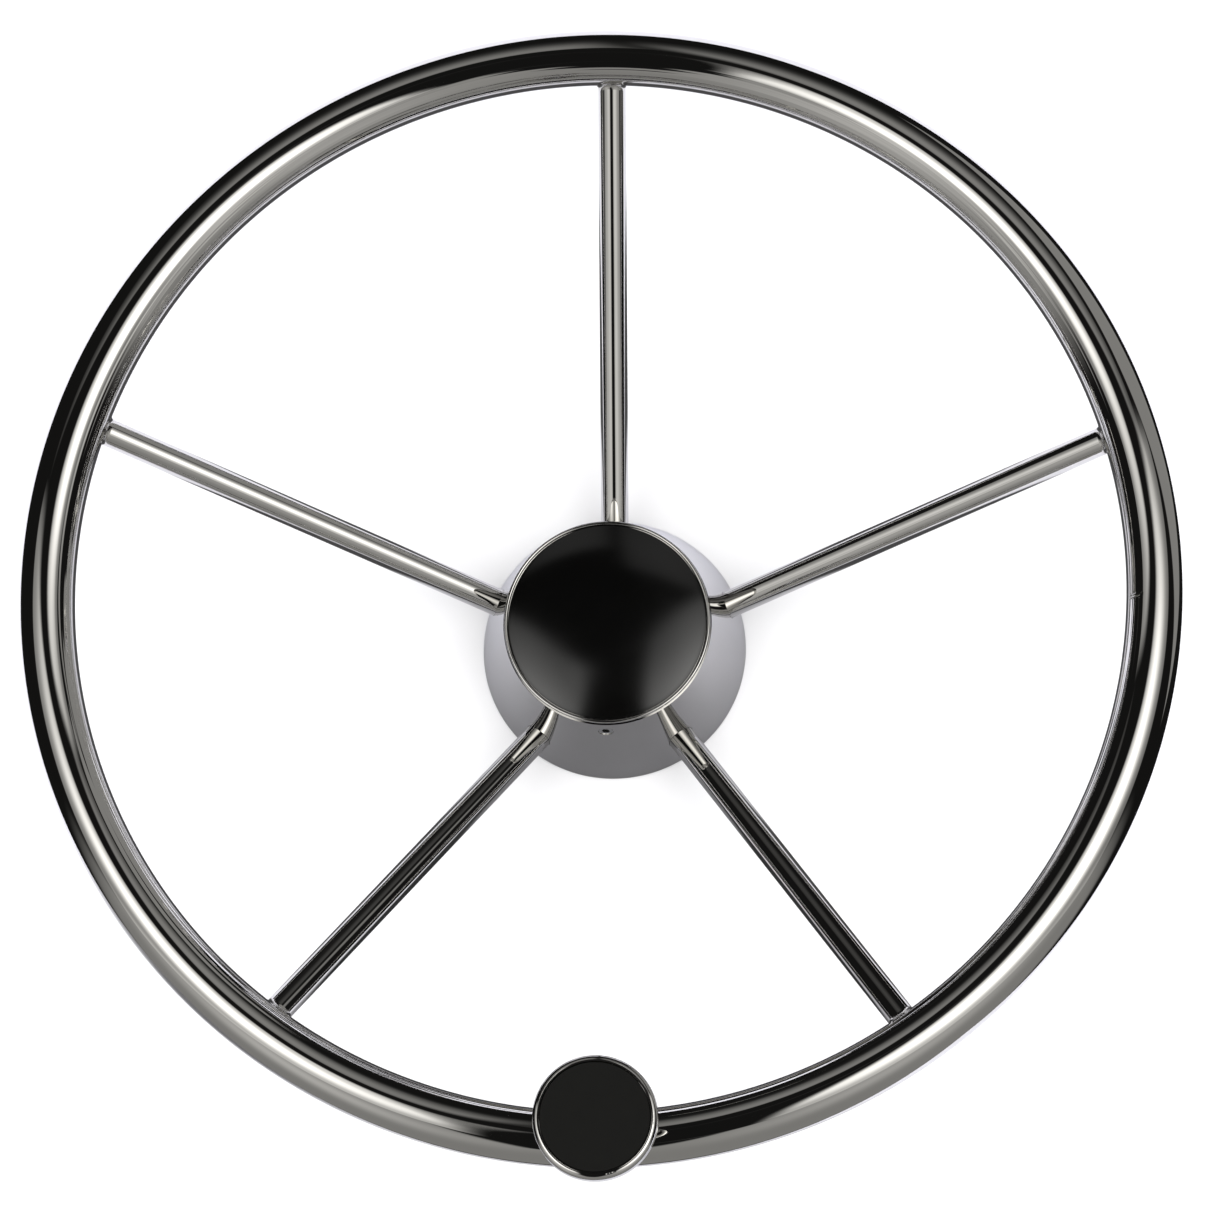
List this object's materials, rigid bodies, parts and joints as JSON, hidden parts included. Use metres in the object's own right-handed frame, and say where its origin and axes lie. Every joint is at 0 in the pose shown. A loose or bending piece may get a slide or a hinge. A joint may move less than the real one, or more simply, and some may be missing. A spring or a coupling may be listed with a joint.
{
  "type": "boat steering wheel",
  "caption": "Dished boat steering wheel of polished steel tube: round rim, straight raked spokes, conical hub with a black domed cap, and a spinning turning knob on the rim.",
  "frame": {"origin": "on the shaft axis, in the back face of the hub, where the helm shaft enters", "axes": "+Z along the shaft axis, towards the person steering; +Y towards the top spoke, away from the turning knob; +X to the right seen from the front"},
  "size_m": [0.3939, 0.4051, 0.1402],
  "materials": {
    "polished_steel": "stainless steel, mirror polished",
    "machined_steel": "stainless steel, finely turned",
    "weld_metal": "stainless weld metal, ground and polished",
    "fastener_steel": "stainless steel fastener, plain",
    "black_cap": "black plastic, satin gloss",
    "black_insert": "black plastic, fine matt grain",
    "bearing_plastic": "off-white acetal, plain"
  },
  "bodies": {
    "wheel": {"cap_seat_ring": "polished_steel", "cap_set_screw": "fastener_steel", "hub_back_plate": "polished_steel", "hub_boss": "machined_steel", "hub_shroud": "polished_steel", "hub_weld_beads": "weld_metal", "knob_post": "machined_steel", "knob_post_weld": "weld_metal", "knob_retaining_screw": "fastener_steel", "knob_retaining_washer": "fastener_steel", "knob_thrust_washer": "bearing_plastic", "rim_tube": "polished_steel", "rim_weld_beads": "weld_metal", "spoke_lower_left": "polished_steel", "spoke_lower_right": "polished_steel", "spoke_top": "polished_steel", "spoke_upper_left": "polished_steel", "spoke_upper_right": "polished_steel"},
    "knob": {"knob_shell": "polished_steel", "knob_insert": "black_insert", "knob_lower_bush": "bearing_plastic", "knob_upper_bush": "bearing_plastic"},
    "cap": {"cap_bezel": "polished_steel", "cap_disc": "black_cap"}
  },
  "joints": [
    {"name": "knob_spin", "type": "hinge", "parent": "wheel", "child": "knob", "pos_m": [0.00589, -0.18738, 0.12], "axis": [0, 0, 1], "continuous": true},
    {"name": "cap_lift", "type": "slide", "parent": "wheel", "child": "cap", "axis": [0, 0, 1], "range_m": [0, 0.03]}
  ]
}
